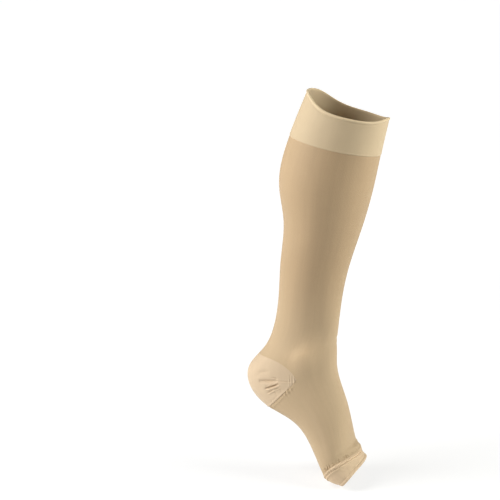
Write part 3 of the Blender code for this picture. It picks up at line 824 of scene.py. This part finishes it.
hem_outer = (hem_outer + hem_lift + ridge + rounded_off(past_seam, HEM_EDGE_ROUND)
             + raised(FIRST_RIDGE, past_crest) + raised(VALLEY, past_crest)
             + raised(SECOND_RIDGE, past_crest)
             + raised(FIRST_GATHERS, past_crest) * pucker(hem_around, seed=5)
             + raised(SECOND_GATHERS, past_crest) * pucker(hem_around, seed=21)
             + raised(STITCH_LINE, to_edge) + raised(EDGE_ROLL, to_edge)
             + fine_ribs(hem_around, to_edge))
hem_inner = hem_inner + hem_lift + HEM_RIDGE_HOLLOW * ridge
points, faces, edge, _, places = shell_parts(hem_along, hem_around, hem_outer, hem_inner, row_step=1)

TOE_COLOUR = linear(222, 198, 166)
TOE_GAP_COLOUR = linear(200, 173, 140)
toe_knit = knit_material("toe_knit", TOE_COLOUR, TOE_GAP_COLOUR, courses_per_mm=2.0, rough=0.66,
                         relief=0.5, sheen=0.22, streaks=0.03)
toe_hem = new_piece("toe_hem", points, faces + edge["top"] + edge["bottom"], places, toe_knit)
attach(toe_hem, "root")
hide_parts("toe_band")


# =============================================================================================
# Studio
# A pale floor that the stocking stands on, two tall soft boxes high at its sides, two weak ones low
# beside it, and the camera a little above the middle of the leg. Its sizes are in metres.
# =============================================================================================

FLOOR_GAP = 0.0004
FLOOR_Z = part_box("toe_band")[0][2] - FLOOR_GAP
FLOOR_HALF = 60.0
CAMERA_AZIMUTH = math.radians(18)
floor_mesh = bpy.data.meshes.new("floor")
corners = [(-FLOOR_HALF, -FLOOR_HALF, FLOOR_Z), (FLOOR_HALF, -FLOOR_HALF, FLOOR_Z),
           (FLOOR_HALF, FLOOR_HALF, FLOOR_Z), (-FLOOR_HALF, FLOOR_HALF, FLOOR_Z)]
floor_mesh.from_pydata(corners, [], [(0, 1, 2, 3)])
floor = bpy.data.objects.new("floor", floor_mesh)
floor.rotation_euler.z = CAMERA_AZIMUTH
bpy.context.scene.collection.objects.link(floor)

# The paper is dull and glows by itself, so that it looks white up to the horizon. Round the stocking
# and towards the camera it glows less, and so doesn't light the cloth from below.
GLOW_BEHIND = {"From Min": 0.1, "From Max": 1.7, "To Min": 0.72, "To Max": 1.0}
GLOW_BEFORE = {"From Min": -1.0, "From Max": -0.25, "To Min": 0.75, "To Max": 1.0}
paper = Nodes("white_paper")
place = paper.add("SeparateXYZ", {0: paper.add("TexCoord").outputs["Object"]})
behind = paper.add("MapRange", {"Value": place.outputs[1], **GLOW_BEHIND})
before = paper.add("MapRange", {"Value": place.outputs[1], **GLOW_BEFORE})
glow = paper.math("MULTIPLY", behind.outputs[0], before.outputs[0])
paper.put(glow, paper.shader.inputs["Emission Strength"])
paper.shader.inputs["Emission Color"].default_value = (1, 1, 1, 1)
paper.shader.inputs["Base Color"].default_value = (0.3, 0.3, 0.3, 1)
paper.shader.inputs["Roughness"].default_value = 0.9
paper.shader.inputs["Specular IOR Level"].default_value = 0.1
floor_mesh.materials.append(paper.material)

CAMERA_ELEVATION = math.radians(12)
CAMERA_DISTANCE = 1.55
CAMERA_AIM = np.array([-0.1041, -0.0726, -0.1734])
FOCAL_LENGTH = 90
SENSOR_WIDTH = 36
right = np.array([math.cos(CAMERA_AZIMUTH), math.sin(CAMERA_AZIMUTH), 0])
back = np.array([math.sin(CAMERA_AZIMUTH) * math.cos(CAMERA_ELEVATION),
                 -math.cos(CAMERA_AZIMUTH) * math.cos(CAMERA_ELEVATION), math.sin(CAMERA_ELEVATION)])


def look(thing, target):
    """Turn a lamp or a camera so that it faces the target."""
    direction = mathutils.Vector(np.asarray(target) - np.array(thing.location))
    thing.rotation_euler = direction.to_track_quat("-Z", "Y").to_euler()


camera_data = bpy.data.cameras.new("camera")
camera_data.lens = FOCAL_LENGTH
camera_data.sensor_width = SENSOR_WIDTH
camera = bpy.data.objects.new("camera", camera_data)
bpy.context.scene.collection.objects.link(camera)
camera.location = CAMERA_AIM + back * CAMERA_DISTANCE
look(camera, CAMERA_AIM)
bpy.context.scene.camera = camera

MIDDLE = np.array([-0.04, 0.0, -0.24])
level_back = np.array([math.sin(CAMERA_AZIMUTH), -math.cos(CAMERA_AZIMUTH), 0])
up = np.array([0, 0, 1])

# A lamp's place is counted from the middle of the stocking: to the right, towards the camera and up.
Lamp = namedtuple("Lamp", "name right forward up width height watts colour")
LAMPS = (
    Lamp("high_box_left",  -1.15, 0.25, 0.75, 0.8, 1.4, 24.8, (1.00, 1.00, 0.99)),
    Lamp("high_box_right",  1.15, 0.25, 0.65, 0.8, 1.4, 17.9, (1.00, 1.01, 0.95)),
    Lamp("low_box_left",   -1.25, 0.10, 0.10, 0.8, 1.6,  5.0, (1.00, 1.00, 0.99)),
    Lamp("low_box_right",   1.25, 0.10, 0.10, 0.8, 1.6,  4.5, (1.00, 1.01, 0.95)),
)
for lamp in LAMPS:
    light = bpy.data.lights.new(lamp.name, "AREA")
    light.shape = "RECTANGLE"
    light.size = lamp.width
    light.size_y = lamp.height
    light.energy = lamp.watts
    light.color = lamp.colour
    stand = bpy.data.objects.new(lamp.name, light)
    bpy.context.scene.collection.objects.link(stand)
    stand.location = MIDDLE + right * lamp.right + level_back * lamp.forward + up * lamp.up
    look(stand, MIDDLE)

WORLD_STRENGTH = 0.03
world = bpy.data.worlds.new("studio")
world.use_nodes = True
world.node_tree.nodes["Background"].inputs["Color"].default_value = (1, 1, 1, 1)
world.node_tree.nodes["Background"].inputs["Strength"].default_value = WORLD_STRENGTH
bpy.context.scene.world = world
bpy.context.scene.view_settings.view_transform = "Standard"
